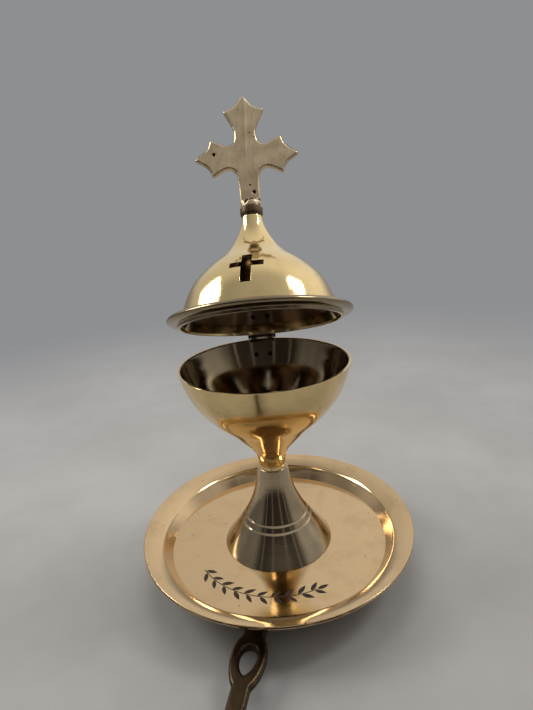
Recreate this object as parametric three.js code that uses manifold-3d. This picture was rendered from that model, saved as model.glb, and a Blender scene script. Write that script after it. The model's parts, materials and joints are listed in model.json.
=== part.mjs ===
// Brass hand censer: a bowl on a hollow pedestal, bolted through a saucer to a flat cast handle,
// with a hinged ogee lid that carries a cast cross. Millimetres, +Z up.
// The origin is on the axis of the bowl, in the plane that the foot ring stands on.
// The hinge is at +Y and the handle leaves at -Y, turned a little towards -X.

import * as THREE from 'three';
import { mergeVertices } from 'three/addons/utils/BufferGeometryUtils.js';
import Module from 'manifold-3d';

const wasm = await Module();
wasm.setup();

// ---- driving dimensions -------------------------------------------------------------------

// clearances
const seatGap = 0.05; // between faces that are bolted or riveted together
const boreGap = 0.1; // radial, between a fixed shank and its hole
const hingePinGap = 0.08; // radial, between the hinge pin and the knuckles
const knuckleGap = 0.2; // along the pin, between neighbouring knuckles
const lidSeatGap = 0.3; // between the closed lid's brim and the bowl's rim

// saucer
const plateRadius = 65;
const plateRimWidth = 12.9; // from the well's edge to the lip
const plateThickness = 1.8;
const plateRimRise = 9.2; // rim's top above the well
const plateLipThickness = 1.2;
const footOuterRadius = 34;
const footRingWidth = 3.5;
const footDraft = 0.6; // slope of each side of the foot ring
const footNotchGap = 0.6; // each side of the handle

// tie bolt, from below
const boltHeadAcrossFlats = 10;
const boltHeadHeight = 4; // its face is level with the foot ring
const boltRadius = 3;
const boltGripInStem = 9;
const boltBoreEndRoom = 1;
const washerRadius = 8;
const washerThickness = 1.6;

// handle
const handleAngle = THREE.MathUtils.degToRad(13); // from -Y towards -X
const handleThickness = 4;
const handleBevel = 0.9;
const handleEyeRadius = 9;
const handleNeckWidth = 9;
const handleGripWidth = 6.9;
const handleRingStandoff = 4; // the ring's centre beyond the saucer's lip
const handleRingWidth = 15;
const handleRingLength = 21;
const handleRingHoleWidth = 7.4;
const handleRingHoleLength = 12.4;
const handleGripLength = 65; // from the ring's centre to the end's
const handleEndRadius = 7.5;
const handleEndHoleRadius = 3.4;
const handleRivetRadius = 1.4;
const handleRivetHeadRadius = 2.3;
const handleRivetHeadHeight = 1.1;
const handleRivetInnerShare = 0.479; // of the pedestal's base radius, which hides both rivets
const handleRivetOuterShare = 0.709;

// pedestal
const pedestalBaseRadius = 26.1;
const pedestalHeight = 39.7;
const pedestalWall = 1.5;
const pedestalCrownThickness = 5;
const pedestalTopStep = 0.45; // the crown's radius beyond the stem's foot
// shares of the step from the top's radius to the base's, and of the height
const pedestalProfile = [[1, 0], [0.755, 0.156], [0.525, 0.312], [0.332, 0.469], [0.185, 0.625],
  [0.081, 0.793], [0, 1]];
const grooveHeights = [12.9, 15.7];
const grooveWidth = 0.8;
const grooveDepth = 0.35;

// bowl
const stemFootRadius = 6.5;
const stemWaistRadius = 6.4;
const stemWaistHeight = 2.4;
const stemFlare = 0.5; // beyond the waist, where the stem starts to spread
const stemFlareShare = 0.115; // of the bowl's height
const bowlRimRadius = 38.4;
const bowlHeight = 52; // stem's foot to rim
const bowlWall = 1.25;
const bowlFloorHeight = 15.4; // above the stem's foot
// shares of the rim's radius and of the height, above the stem
const bowlProfile = [[0.237, 0.202], [0.365, 0.308], [0.516, 0.423], [0.706, 0.558], [0.859, 0.712],
  [0.948, 0.865], [1, 1]];

// lid, heights from the plane of the bowl's rim when it is shut
const lidOpenAngle = THREE.MathUtils.degToRad(22.4);
const lidWall = 1.4;
const spigotGap = 0.75; // radial, inside the bowl's mouth
const spigotDepth = 1.2;
const spigotWall = 1.3;
const brimOverhang = 2.5; // outside the bowl's rim
const brimThickness = 3.3;
const domeInset = 2.1; // the dome's foot inside the spigot's outside
const brimRound = 0.6;
const lidNeckRadius = 4.5;
const lidNeckHeight = 47.5;
const lidCeilingHeight = 36;
// shares of the dome's foot radius and of the neck's height
const domeProfile = [[0.962, 0.168], [0.91, 0.263], [0.834, 0.358], [0.735, 0.442], [0.606, 0.526],
  [0.449, 0.611], [0.324, 0.695]];
// radii beyond the neck's, and shares of its height
const neckProfile = [[3.2, 0.8], [0.9, 0.905]];

// cut crosses in the lid
const smokeCrossCount = 4;
const smokeCrossAngle = THREE.MathUtils.degToRad(-8.4); // first cross, from -Y towards +X
const smokeCrossTop = 24.4;
const smokeCrossBottom = 11.1;
const smokeCrossWidth = 13.8;
const smokeCrossUprightWidth = 4.2;
const smokeCrossBarTop = 20.75;
const smokeCrossBarBottom = 18.35;

// hinge
const hingeStandoff = 6.6; // axis outside the bowl's rim
const hingeDrop = 0.24; // axis below the plane of the rim
const hingeWidth = 12.5;
const bowlKnuckleShare = 0.472; // of the hinge's width
const knuckleRadius = 2.2;
const hingePinRadius = 1;
const hingePinHeadRadius = 1.7;
const hingePinHeadThickness = 0.8;
const leafThickness = 1;
const bowlLeafDepth = 12; // down the bowl's wall
const lidLeafTop = 10.5; // up the dome, from the plane of the rim
const rimNotchDepth = 1;
const hingeRivetEdge = 2.55; // from a leaf's side to its rivet
const hingeRivetRadius = 0.8;
const hingeRivetHeadRadius = 1.45;
const hingeRivetHeadHeight = 0.7;
const bowlRivetDrop = 8; // below the rim
const lidRivetHeight = 8; // above the plane of the rim

// cross finial, heights from its foot
const collarRadius = 5.1;
const collarBandRise = 0.35; // beyond the recess below the band
const collarRecessShare = 0.18; // of the collar's height
const collarHeight = 4;
const crossFootRadius = 4.6;
const crossFootHeight = 3.6;
const crossCentreHeight = 24.1;
const crossThickness = 3.6;
const crossBevel = 0.6;
const crossSideReach = 23.6; // centre to the tip of a side arm
const crossTopReach = 28.7;
const crossSideCorner = [16.1, 8.8]; // along the arm, across it
const crossTopCorner = [21.9, 9.3];
const crossSideWaist = [8.9, 5.4];
const crossTopWaist = [12, 4.9];
const crossStemWaist = [12.8, 4.7];
const crossArmEnd = [[0.12, 0.66], [0.34, 0.4], [0.72, 0.19]]; // corner to tip: shares along, across
const crossStemFootHalfWidth = 4.5;
const tangRadius = 2;
const tangEndRoom = 1;
const nutAcrossFlats = 7;
const nutHeight = 3.2;
const nutWasherRadius = 4.5;
const nutWasherThickness = 0.8;

// facets around turned pieces, and steps along their outlines
const wideFacets = 48;
const pedestalFacets = 36;
const stemFacets = 24;
const smallFacets = 12;
const rimSteps = 6;
const pedestalSteps = 12;
const bowlSteps = 18;
const domeSteps = 20;
const armEndSteps = 6;

// ---- heights that follow from the stack ---------------------------------------------------

const handleBottom = boltHeadHeight + seatGap + washerThickness + seatGap;
const plateBottom = handleBottom + handleThickness + seatGap;
const wellTop = plateBottom + plateThickness;
const pedestalBottom = wellTop + seatGap;
const stemBottom = pedestalBottom + pedestalHeight + seatGap;
const rimHeight = stemBottom + bowlHeight;

// ---- sizes that follow from the others ----------------------------------------------------

const wellRadius = plateRadius - plateRimWidth;
const footInnerRadius = footOuterRadius - footRingWidth;
const handleRingCentre = plateRadius + handleRingStandoff;
const handleEndCentre = handleRingCentre + handleGripLength;
const handleRivetInnerReach = pedestalBaseRadius * handleRivetInnerShare;
const handleRivetOuterReach = pedestalBaseRadius * handleRivetOuterShare;
const pedestalTopRadius = stemFootRadius + pedestalTopStep;
const spigotRadius = bowlRimRadius - bowlWall - spigotGap;
const brimRadius = bowlRimRadius + brimOverhang;
const brimTop = lidSeatGap + brimThickness;
const domeRadius = spigotRadius - domeInset;
const hingeReach = bowlRimRadius + hingeStandoff;
const bowlKnuckleWidth = hingeWidth * bowlKnuckleShare;
const hingeRivetSpacing = hingeWidth - 2 * hingeRivetEdge;
const collarWaistRadius = collarRadius - collarBandRise;

// ---- helpers ------------------------------------------------------------------------------

const vec = (x, y) => new THREE.Vector2(x, y);

function toSolid(geometry) {
  const bare = geometry.clone();
  bare.deleteAttribute('normal');
  bare.deleteAttribute('uv');
  const merged = mergeVertices(bare, 1e-4);
  const corners = merged.index.array;
  const kept = [];
  for (let i = 0; i < corners.length; i += 3) {
    const [a, b, c] = [corners[i], corners[i + 1], corners[i + 2]];
    if (a !== b && b !== c && c !== a) kept.push(a, b, c);
  }
  return new wasm.Manifold(new wasm.Mesh({
    numProp: 3,
    vertProperties: new Float32Array(merged.attributes.position.array),
    triVerts: new Uint32Array(kept),
  }));
}

function toGeometry(solid) {
  const mesh = solid.getMesh();
  const geometry = new THREE.BufferGeometry();
  geometry.setAttribute('position', new THREE.BufferAttribute(mesh.vertProperties, 3));
  geometry.setIndex(new THREE.BufferAttribute(mesh.triVerts, 1));
  geometry.computeVertexNormals();
  return geometry;
}

// a turned solid about Z; the outline runs upwards on its outside, as [radius, height] points
function turned(outline, facets) {
  const geometry = new THREE.LatheGeometry(outline, facets);
  geometry.rotateX(Math.PI / 2);
  return toSolid(geometry);
}

// a turned ring whose outline closes on itself
function turnedRing(outline, facets) {
  return turned([...outline, outline[0]], facets);
}

function tube(outerRadius, innerRadius, bottom, top, facets) {
  return turnedRing([
    vec(outerRadius, bottom), vec(outerRadius, top), vec(innerRadius, top), vec(innerRadius, bottom),
  ], facets);
}

function rod(radius, bottom, top, facets) {
  return turned([vec(0, bottom), vec(radius, bottom), vec(radius, top), vec(0, top)], facets);
}

function block(low, high) {
  const geometry = new THREE.BoxGeometry(high[0] - low[0], high[1] - low[1], high[2] - low[2]);
  geometry.translate((low[0] + high[0]) / 2, (low[1] + high[1]) / 2, (low[2] + high[2]) / 2);
  return toSolid(geometry);
}

function hexagon(acrossFlats, bottom, top) {
  const geometry = new THREE.CylinderGeometry(acrossFlats / Math.sqrt(3), acrossFlats / Math.sqrt(3),
    top - bottom, 6);
  geometry.rotateX(Math.PI / 2);
  geometry.translate(0, 0, (bottom + top) / 2);
  return toSolid(geometry);
}

function placed(solid, matrix) {
  const geometry = toGeometry(solid);
  geometry.applyMatrix4(matrix);
  return toSolid(geometry);
}

const smooth = (points, steps) => new THREE.SplineCurve(points).getPoints(steps);

const lifted = (outline, rise) => outline.map((point) => vec(point.x, point.y + rise));
const widened = (outline, gap) => outline.map((point) => vec(point.x + gap, point.y));

// the same outline moved to its left by a wall's thickness
function inset(outline, wall) {
  return outline.map((point, i) => {
    const before = outline[Math.max(i - 1, 0)];
    const after = outline[Math.min(i + 1, outline.length - 1)];
    const along = after.clone().sub(before).normalize();
    return vec(point.x - along.y * wall, point.y + along.x * wall);
  });
}

function radiusAt(outline, height) {
  for (let i = 1; i < outline.length; i += 1) {
    const [a, b] = [outline[i - 1], outline[i]];
    if ((a.y - height) * (b.y - height) <= 0 && a.y !== b.y) {
      return a.x + (b.x - a.x) * (height - a.y) / (b.y - a.y);
    }
  }
  throw new Error(`the outline doesn't reach the height ${height}`);
}

// a frame on a turned wall: its origin on the surface, its Z along the surface's normal
function wallFrame(outline, height, sideways, base) {
  const radius = radiusAt(outline, height);
  const slope = (radiusAt(outline, height + 1) - radiusAt(outline, height - 1)) / 2;
  const azimuth = Math.asin(sideways / radius);
  const normal = new THREE.Vector3(Math.sin(azimuth), Math.cos(azimuth), -slope).normalize();
  const point = new THREE.Vector3(radius * Math.sin(azimuth), radius * Math.cos(azimuth), height + base);
  const turn = new THREE.Quaternion().setFromUnitVectors(new THREE.Vector3(0, 0, 1), normal);
  return new THREE.Matrix4().compose(point, turn, new THREE.Vector3(1, 1, 1));
}

// ---- saucer -------------------------------------------------------------------------------

function plateSolid() {
  const lipStart = wellRadius + plateRimWidth * 0.35;
  const rim = smooth([
    vec(wellRadius, 0),
    vec(wellRadius + plateRimWidth * 0.22, plateRimRise * 0.43),
    vec(lipStart, plateRimRise * 0.64),
    vec((lipStart + plateRadius) / 2, plateRimRise * 0.88),
    vec(plateRadius - plateLipThickness / 3, plateRimRise),
  ], rimSteps);
  const under = inset(rim, -plateLipThickness).slice(1).reverse();
  const top = [vec(0, 0), ...rim];
  const bottom = [
    vec(plateRadius, plateRimRise - plateLipThickness / 2),
    ...under,
    vec(wellRadius - plateThickness / 3, -plateThickness),
    vec(footOuterRadius, -plateThickness),
    vec(footOuterRadius - footDraft, -wellTop),
    vec(footInnerRadius + footDraft, -wellTop),
    vec(footInnerRadius, -plateThickness),
    vec(0, -plateThickness),
  ];
  const outline = lifted([...top, ...bottom].reverse(), wellTop);
  const notchHalf = handleNeckWidth / 2 + footNotchGap;
  const notch = placed(
    block([-notchHalf, -footOuterRadius - footRingWidth, -1],
      [notchHalf, -footInnerRadius + footRingWidth, plateBottom]),
    handleTurn(),
  );
  return turned(outline, wideFacets)
    .subtract(rod(boltRadius + boreGap, -1, wellTop + 1, stemFacets))
    .subtract(notch)
    .subtract(handleRivetHoles());
}

// ---- handle -------------------------------------------------------------------------------

const handleTurn = () => new THREE.Matrix4().makeRotationZ(-handleAngle);

function atHandle(reach) {
  return new THREE.Matrix4().makeTranslation(0, -reach, 0).premultiply(handleTurn());
}

function handleRivetHoles() {
  const hole = rod(handleRivetRadius + boreGap, 0, wellTop + 1, smallFacets);
  return placed(hole, atHandle(handleRivetInnerReach)).add(placed(hole, atHandle(handleRivetOuterReach)));
}

// the flat outline, with Y along the handle away from the bowl
function handleOutline() {
  const shape = new THREE.Shape();
  const ringHalf = handleRingWidth / 2;
  const ringStart = handleRingCentre - handleRingLength / 2;
  const ringEnd = handleRingCentre + handleRingLength / 2;
  const neckHalf = handleNeckWidth / 2;
  const gripHalf = handleGripWidth / 2;
  const eyeMeets = Math.sqrt(handleEyeRadius ** 2 - neckHalf ** 2);
  const endMeets = Math.sqrt(handleEndRadius ** 2 - gripHalf ** 2);
  shape.moveTo(neckHalf, eyeMeets);
  shape.lineTo(neckHalf, ringStart);
  shape.bezierCurveTo(ringHalf * 1.08, ringStart + 3.5, ringHalf * 1.06, ringEnd - 6, gripHalf, ringEnd);
  shape.lineTo(gripHalf, handleEndCentre - endMeets);
  const endAngle = Math.asin(gripHalf / handleEndRadius);
  shape.absarc(0, handleEndCentre, handleEndRadius, -Math.PI / 2 + endAngle, 1.5 * Math.PI - endAngle);
  shape.lineTo(-gripHalf, ringEnd);
  shape.bezierCurveTo(-ringHalf * 1.06, ringEnd - 6, -ringHalf * 1.08, ringStart + 3.5, -neckHalf, ringStart);
  shape.lineTo(-neckHalf, eyeMeets);
  const eyeAngle = Math.asin(neckHalf / handleEyeRadius);
  shape.absarc(0, 0, handleEyeRadius, Math.PI / 2 + eyeAngle, 2.5 * Math.PI - eyeAngle);

  const ringHole = new THREE.Path();
  const [w, l] = [handleRingHoleWidth / 2, handleRingHoleLength / 2];
  ringHole.moveTo(0, handleRingCentre - l);
  ringHole.bezierCurveTo(-w * 1.15, handleRingCentre - l, -w * 1.25, handleRingCentre + l * 0.35,
    0, handleRingCentre + l);
  ringHole.bezierCurveTo(w * 1.25, handleRingCentre + l * 0.35, w * 1.15, handleRingCentre - l,
    0, handleRingCentre - l);
  const hangHole = new THREE.Path();
  hangHole.absarc(0, handleEndCentre, handleEndHoleRadius, 0, 2 * Math.PI, true);
  shape.holes.push(ringHole, hangHole);
  return shape;
}

function handleSolid() {
  const geometry = new THREE.ExtrudeGeometry(handleOutline(), {
    depth: handleThickness - 2 * handleBevel,
    bevelThickness: handleBevel,
    bevelSize: handleBevel * 0.8,
    bevelOffset: -handleBevel * 0.8,
    bevelSegments: 1,
    curveSegments: 8,
  });
  geometry.rotateZ(Math.PI);
  geometry.translate(0, 0, handleBottom + handleBevel);
  return placed(toSolid(geometry), handleTurn())
    .subtract(rod(boltRadius + boreGap, -1, wellTop, stemFacets))
    .subtract(handleRivetHoles());
}

// a rivet set from above, its lower head under the handle
function handleRivetSolid(reach) {
  const low = handleBottom - seatGap;
  const high = wellTop + seatGap;
  const tail = handleRivetHeadHeight;
  const outline = [
    vec(0, low - tail),
    vec(handleRivetHeadRadius * 0.6, low - tail),
    vec(handleRivetHeadRadius, low - tail * 0.3),
    vec(handleRivetHeadRadius, low),
    vec(handleRivetRadius, low),
    vec(handleRivetRadius, high),
    vec(handleRivetHeadRadius, high),
    vec(handleRivetHeadRadius, high + tail * 0.3),
    vec(handleRivetHeadRadius * 0.6, high + tail),
    vec(0, high + tail),
  ];
  return placed(turned(outline, smallFacets), atHandle(reach));
}

// ---- tie bolt -----------------------------------------------------------------------------

function tieBoltSolid() {
  const shank = rod(boltRadius, boltHeadHeight - 0.5, stemBottom + boltGripInStem, stemFacets);
  return hexagon(boltHeadAcrossFlats, 0, boltHeadHeight).add(shank);
}

function tieWasherSolid() {
  const bottom = boltHeadHeight + seatGap;
  return tube(washerRadius, boltRadius + boreGap, bottom, bottom + washerThickness, stemFacets);
}

// ---- pedestal -----------------------------------------------------------------------------

function pedestalSolid() {
  const spread = pedestalBaseRadius - pedestalTopRadius;
  const outside = smooth(pedestalProfile.map(([out, up]) => (
    vec(pedestalTopRadius + spread * out, pedestalHeight * up))), pedestalSteps);
  const crownBottom = pedestalHeight - pedestalCrownThickness;
  const inside = inset(outside, pedestalWall).filter((point) => point.y > 0.5 && point.y < crownBottom - 0.5);
  const outline = [
    ...outside,
    vec(boltRadius + boreGap, pedestalHeight),
    vec(boltRadius + boreGap, crownBottom),
    ...inside.reverse(),
    vec(pedestalBaseRadius - pedestalWall * 1.6, 0),
  ];
  const body = turnedRing(lifted(outline, pedestalBottom), pedestalFacets);
  return grooveHeights.reduce((solid, height) => {
    const radius = radiusAt(outside, height);
    const middle = height + pedestalBottom;
    const reach = grooveDepth * 4;
    const cutter = turnedRing([
      vec(radius - grooveDepth, middle),
      vec(radius + reach, middle - grooveWidth * 2.4),
      vec(radius + reach, middle + grooveWidth),
    ], pedestalFacets);
    return solid.subtract(cutter);
  }, body);
}

// ---- bowl ---------------------------------------------------------------------------------

const bowlOutside = smooth([
  vec(stemFootRadius, 0),
  vec(stemWaistRadius, stemWaistHeight),
  vec(stemWaistRadius + stemFlare, bowlHeight * stemFlareShare),
  ...bowlProfile.map(([out, up]) => vec(bowlRimRadius * out, bowlHeight * up)),
], bowlSteps);

function bowlSolid() {
  const inside = inset(bowlOutside, bowlWall).filter((point) => point.y > bowlFloorHeight + 0.8);
  inside[inside.length - 1] = vec(bowlRimRadius - bowlWall, bowlHeight);
  const floorRadius = radiusAt(bowlOutside, bowlFloorHeight) - bowlWall * 2;
  const outline = [
    vec(0, 0),
    ...bowlOutside,
    ...inside.reverse(),
    vec(floorRadius, bowlFloorHeight),
    vec(0, bowlFloorHeight - 0.6),
  ];
  const bore = rod(boltRadius + boreGap, stemBottom - 1, stemBottom + boltGripInStem + boltBoreEndRoom,
    stemFacets);
  const notch = block([-hingeWidth / 2 - seatGap, 0, rimHeight - rimNotchDepth],
    [hingeWidth / 2 + seatGap, bowlRimRadius + 2, rimHeight + 1]);
  return turned(lifted(outline, stemBottom), wideFacets)
    .subtract(bore)
    .subtract(notch)
    .subtract(bowlRivetHoles());
}

// ---- lid, in its shut place ---------------------------------------------------------------

const domeOutside = smooth([
  vec(domeRadius, brimTop + brimRound),
  ...domeProfile.map(([out, up]) => vec(domeRadius * out, lidNeckHeight * up)),
  ...neckProfile.map(([out, up]) => vec(lidNeckRadius + out, lidNeckHeight * up)),
  vec(lidNeckRadius, lidNeckHeight),
], domeSteps);

function lidSolid() {
  const brimMiddle = lidSeatGap + brimThickness / 2;
  const inside = inset(domeOutside, lidWall).filter((point) => point.y < lidCeilingHeight - 1);
  const ceilingRadius = radiusAt(domeOutside, lidCeilingHeight) - lidWall * 1.3;
  const outline = [
    vec(spigotRadius, -spigotDepth),
    vec(spigotRadius, lidSeatGap),
    vec(brimRadius - brimRound * 3.8, lidSeatGap),
    vec(brimRadius - brimRound, lidSeatGap + brimThickness * 0.22),
    vec(brimRadius, brimMiddle),
    vec(brimRadius - brimRound, brimTop - brimThickness * 0.18),
    vec(brimRadius - brimRound * 3.3, brimTop),
    vec(domeRadius + brimRound * 2, brimTop + 0.05),
    ...domeOutside,
    vec(tangRadius + boreGap, lidNeckHeight),
    vec(tangRadius + boreGap, lidCeilingHeight),
    vec(ceilingRadius, lidCeilingHeight),
    ...inside.reverse(),
    vec(spigotRadius - spigotWall, lidSeatGap),
    vec(spigotRadius - spigotWall, -spigotDepth),
  ];
  return turnedRing(outline, wideFacets).subtract(smokeCrosses()).subtract(lidRivetHoles());
}

// the cutters of the pierced crosses, each pointing outwards through the dome
function smokeCrosses() {
  const half = smokeCrossUprightWidth / 2;
  const upright = block([-half, -brimRadius, smokeCrossBottom], [half, -lidNeckRadius, smokeCrossTop]);
  const bar = block([-smokeCrossWidth / 2, -brimRadius, smokeCrossBarBottom],
    [smokeCrossWidth / 2, -lidNeckRadius, smokeCrossBarTop]);
  const one = upright.add(bar);
  let all = null;
  for (let i = 0; i < smokeCrossCount; i += 1) {
    const turn = new THREE.Matrix4().makeRotationZ(smokeCrossAngle + i * 2 * Math.PI / smokeCrossCount);
    const cut = placed(one, turn);
    all = all ? all.add(cut) : cut;
  }
  return all;
}

// ---- hinge --------------------------------------------------------------------------------

const sides = { left: -1, right: 1 };

// a rod along X on the hinge's axis, in heights from the rim
function hingeRod(radius, from, to, facets) {
  const axis = new THREE.Matrix4().makeTranslation(0, hingeReach, -hingeDrop);
  const turn = new THREE.Matrix4().makeRotationY(Math.PI / 2);
  return placed(rod(radius, from, to, facets), axis.multiply(turn));
}

function rivetHole(outline, height, side, base) {
  const length = leafThickness + bowlWall + lidWall + 2;
  const hole = rod(hingeRivetRadius + boreGap, -length, length, smallFacets);
  return placed(hole, wallFrame(outline, height, side * hingeRivetSpacing / 2, base));
}

function rivetHoles(outline, height, base) {
  return rivetHole(outline, height, sides.left, base).add(rivetHole(outline, height, sides.right, base));
}

const bowlRivetHoles = () => rivetHoles(bowlOutside, bowlHeight - bowlRivetDrop, stemBottom);
const lidRivetHoles = () => rivetHoles(domeOutside, lidRivetHeight, 0);

// a rivet through a leaf and the wall behind it; the wall's outside is the frame's origin
function hingeRivetSolid(outline, height, side, wall, base) {
  const head = leafThickness + 3 * seatGap;
  const tail = -wall - 2 * seatGap;
  const shape = [
    vec(0, tail - hingeRivetHeadHeight * 0.7),
    vec(hingeRivetHeadRadius * 0.8, tail - hingeRivetHeadHeight * 0.5),
    vec(hingeRivetHeadRadius * 0.85, tail - 0.05),
    vec(hingeRivetRadius, tail),
    vec(hingeRivetRadius, head),
    vec(hingeRivetHeadRadius, head),
    vec(hingeRivetHeadRadius * 0.9, head + hingeRivetHeadHeight * 0.5),
    vec(hingeRivetHeadRadius * 0.55, head + hingeRivetHeadHeight * 0.9),
    vec(0, head + hingeRivetHeadHeight),
  ];
  return placed(turned(shape, smallFacets), wallFrame(outline, height, side * hingeRivetSpacing / 2, base));
}

// the part of a leaf that lies on a turned wall, between two heights
function leafOnWall(outline, low, high, base) {
  const between = outline.map((point) => point.y).filter((height) => height > low && height < high);
  const heights = [low, ...between, high];
  const inner = heights.map((height) => vec(radiusAt(outline, height) + seatGap, height + base));
  const outer = inner.map((point) => vec(point.x + leafThickness, point.y));
  const ring = turnedRing([...outer, ...inner.reverse()], wideFacets);
  const window = block([-hingeWidth / 2, 0, low + base - 1],
    [hingeWidth / 2, hingeReach + 10, high + base + 1]);
  return ring.intersect(window);
}

function bowlLeafSolid() {
  const leafTop = bowlHeight - rimNotchDepth;
  const strap = leafOnWall(bowlOutside, bowlHeight - bowlLeafDepth, leafTop, stemBottom);
  const tabTop = rimHeight - seatGap;
  const tabBottom = rimHeight - rimNotchDepth + seatGap;
  const half = hingeWidth / 2;
  const knuckleHalf = bowlKnuckleWidth / 2;
  const tab = block([-half, bowlRimRadius - bowlWall + knuckleGap, tabBottom],
    [half, hingeReach - knuckleRadius - 2 * knuckleGap, tabTop]);
  const heel = block([-half, bowlRimRadius + seatGap, tabBottom - leafThickness * 1.4],
    [half, bowlRimRadius + leafThickness * 1.6, tabTop]);
  const bridge = block([-knuckleHalf, bowlRimRadius, tabBottom - leafThickness * 0.4],
    [knuckleHalf, hingeReach, tabTop]);
  const knuckle = hingeRod(knuckleRadius, -knuckleHalf, knuckleHalf, stemFacets);
  const bowlBody = turned([vec(0, stemBottom), ...lifted(widened(bowlOutside, seatGap), stemBottom),
    vec(0, rimHeight)], wideFacets)
    .intersect(block([-hingeWidth, 0, stemBottom], [hingeWidth, hingeReach, rimHeight - rimNotchDepth]));
  return strap
    .add(tab)
    .add(heel.subtract(bowlBody))
    .add(bridge.subtract(block([-hingeWidth, 0, 0], [hingeWidth, bowlRimRadius + leafThickness, tabBottom])))
    .add(placed(knuckle, new THREE.Matrix4().makeTranslation(0, 0, rimHeight)))
    .subtract(placed(hingeRod(hingePinRadius + hingePinGap, -hingeWidth, hingeWidth, smallFacets),
      new THREE.Matrix4().makeTranslation(0, 0, rimHeight)))
    .subtract(bowlRivetHoles());
}

// the side view of the lid leaf's web, from its knuckle up to the top of the brim
function lidWebSolid(from, to) {
  const low = brimTop + lidSeatGap;
  const high = low + leafThickness;
  const inStrap = domeRadius + leafThickness * 0.6;
  const shape = new THREE.Shape([
    vec(hingeReach + knuckleRadius * 0.64, knuckleRadius * 0.55),
    vec(hingeReach - knuckleRadius * 1.32, high),
    vec(inStrap, high),
    vec(inStrap, low),
    vec(hingeReach - knuckleRadius * 1.64, low),
    vec(hingeReach - knuckleRadius * 0.82, knuckleRadius * 0.45),
    vec(hingeReach - knuckleRadius * 0.41, knuckleRadius * 0.18),
  ]);
  const geometry = new THREE.ExtrudeGeometry(shape, { depth: to - from, bevelEnabled: false });
  geometry.applyMatrix4(new THREE.Matrix4().makeBasis(
    new THREE.Vector3(0, 1, 0), new THREE.Vector3(0, 0, 1), new THREE.Vector3(1, 0, 0)));
  geometry.translate(from, 0, 0);
  return toSolid(geometry);
}

function lidLeafSolid() {
  const inner = bowlKnuckleWidth / 2 + knuckleGap;
  const outer = hingeWidth / 2;
  const strapBottom = brimTop + lidSeatGap + leafThickness * 0.5;
  const strap = leafOnWall(domeOutside, strapBottom, lidLeafTop, 0);
  const tab = lidWebSolid(-outer, outer).intersect(
    block([-outer, 0, brimTop], [outer, hingeReach - knuckleRadius * 1.45, lidLeafTop]));
  return Object.values(sides).reduce((solid, side) => {
    const [from, to] = side < 0 ? [-outer, -inner] : [inner, outer];
    return solid.add(lidWebSolid(from, to)).add(hingeRod(knuckleRadius, from, to, stemFacets));
  }, strap.add(tab))
    .subtract(turned([vec(0, -5), ...widened(domeOutside, seatGap), vec(0, lidNeckHeight)], wideFacets))
    .subtract(hingeRod(hingePinRadius + hingePinGap, -hingeWidth, hingeWidth, smallFacets))
    .subtract(lidRivetHoles());
}

function hingePinSolid() {
  const end = hingeWidth / 2 + knuckleGap;
  const shank = hingeRod(hingePinRadius, -end - 0.2, end + 0.2, smallFacets);
  const headLeft = hingeRod(hingePinHeadRadius, -end - hingePinHeadThickness, -end, smallFacets);
  const headRight = hingeRod(hingePinHeadRadius, end, end + hingePinHeadThickness, smallFacets);
  return placed(shank.add(headLeft).add(headRight), new THREE.Matrix4().makeTranslation(0, 0, rimHeight));
}

// ---- cross finial, in heights from the top of the collar ----------------------------------

// the concave side between the corners of two arms, each arm given as [along, across] points
function crotch(cornerA, waistA, waistB, cornerB) {
  return smooth([cornerA, cornerA.clone().lerp(waistA, 0.55).add(waistA.clone().sub(waistB)
    .multiplyScalar(0.03)), waistA, waistA.clone().add(waistB).multiplyScalar(0.4), waistB,
  cornerB.clone().lerp(waistB, 0.55), cornerB], 12);
}

// an arm's end: from one corner over the tip to the other, scalloped each side of the tip
function armEnd(cornerA, tip, cornerB) {
  const axis = tip.clone().normalize();
  const half = (corner) => {
    const along = axis.clone().multiplyScalar(corner.dot(axis));
    const across = corner.clone().sub(along);
    return smooth([corner, ...crossArmEnd.map(([out, aside]) => (
      along.clone().lerp(tip, out).addScaledVector(across, aside))), tip], armEndSteps);
  };
  return [...half(cornerA), ...half(cornerB).reverse().slice(1)];
}

function crossOutline() {
  const mirror = (point) => vec(-point.x, point.y);
  const topCorner = vec(crossTopCorner[1], crossTopCorner[0]);
  const topWaist = vec(crossTopWaist[1], crossTopWaist[0]);
  const sideWaistHigh = vec(crossSideWaist[0], crossSideWaist[1]);
  const sideCornerHigh = vec(crossSideCorner[0], crossSideCorner[1]);
  const sideWaistLow = vec(crossSideWaist[0], -crossSideWaist[1]);
  const sideCornerLow = vec(crossSideCorner[0], -crossSideCorner[1]);
  const stemWaist = vec(crossStemWaist[1], -crossStemWaist[0]);
  const stemFoot = vec(crossStemFootHalfWidth, -crossCentreHeight + crossFootHeight - 1);
  const upper = crotch(topCorner, topWaist, sideWaistHigh, sideCornerHigh);
  const lower = crotch(sideCornerLow, sideWaistLow, stemWaist, stemFoot);
  const sideEnd = armEnd(sideCornerLow, vec(crossSideReach, 0), sideCornerHigh);
  const right = [...lower.reverse(), ...sideEnd.slice(1, -1), ...upper.reverse()];
  const top = armEnd(topCorner, vec(0, crossTopReach), mirror(topCorner)).slice(1, -1);
  return new THREE.Shape([...right, ...top, ...right.map(mirror).reverse()]);
}

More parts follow.
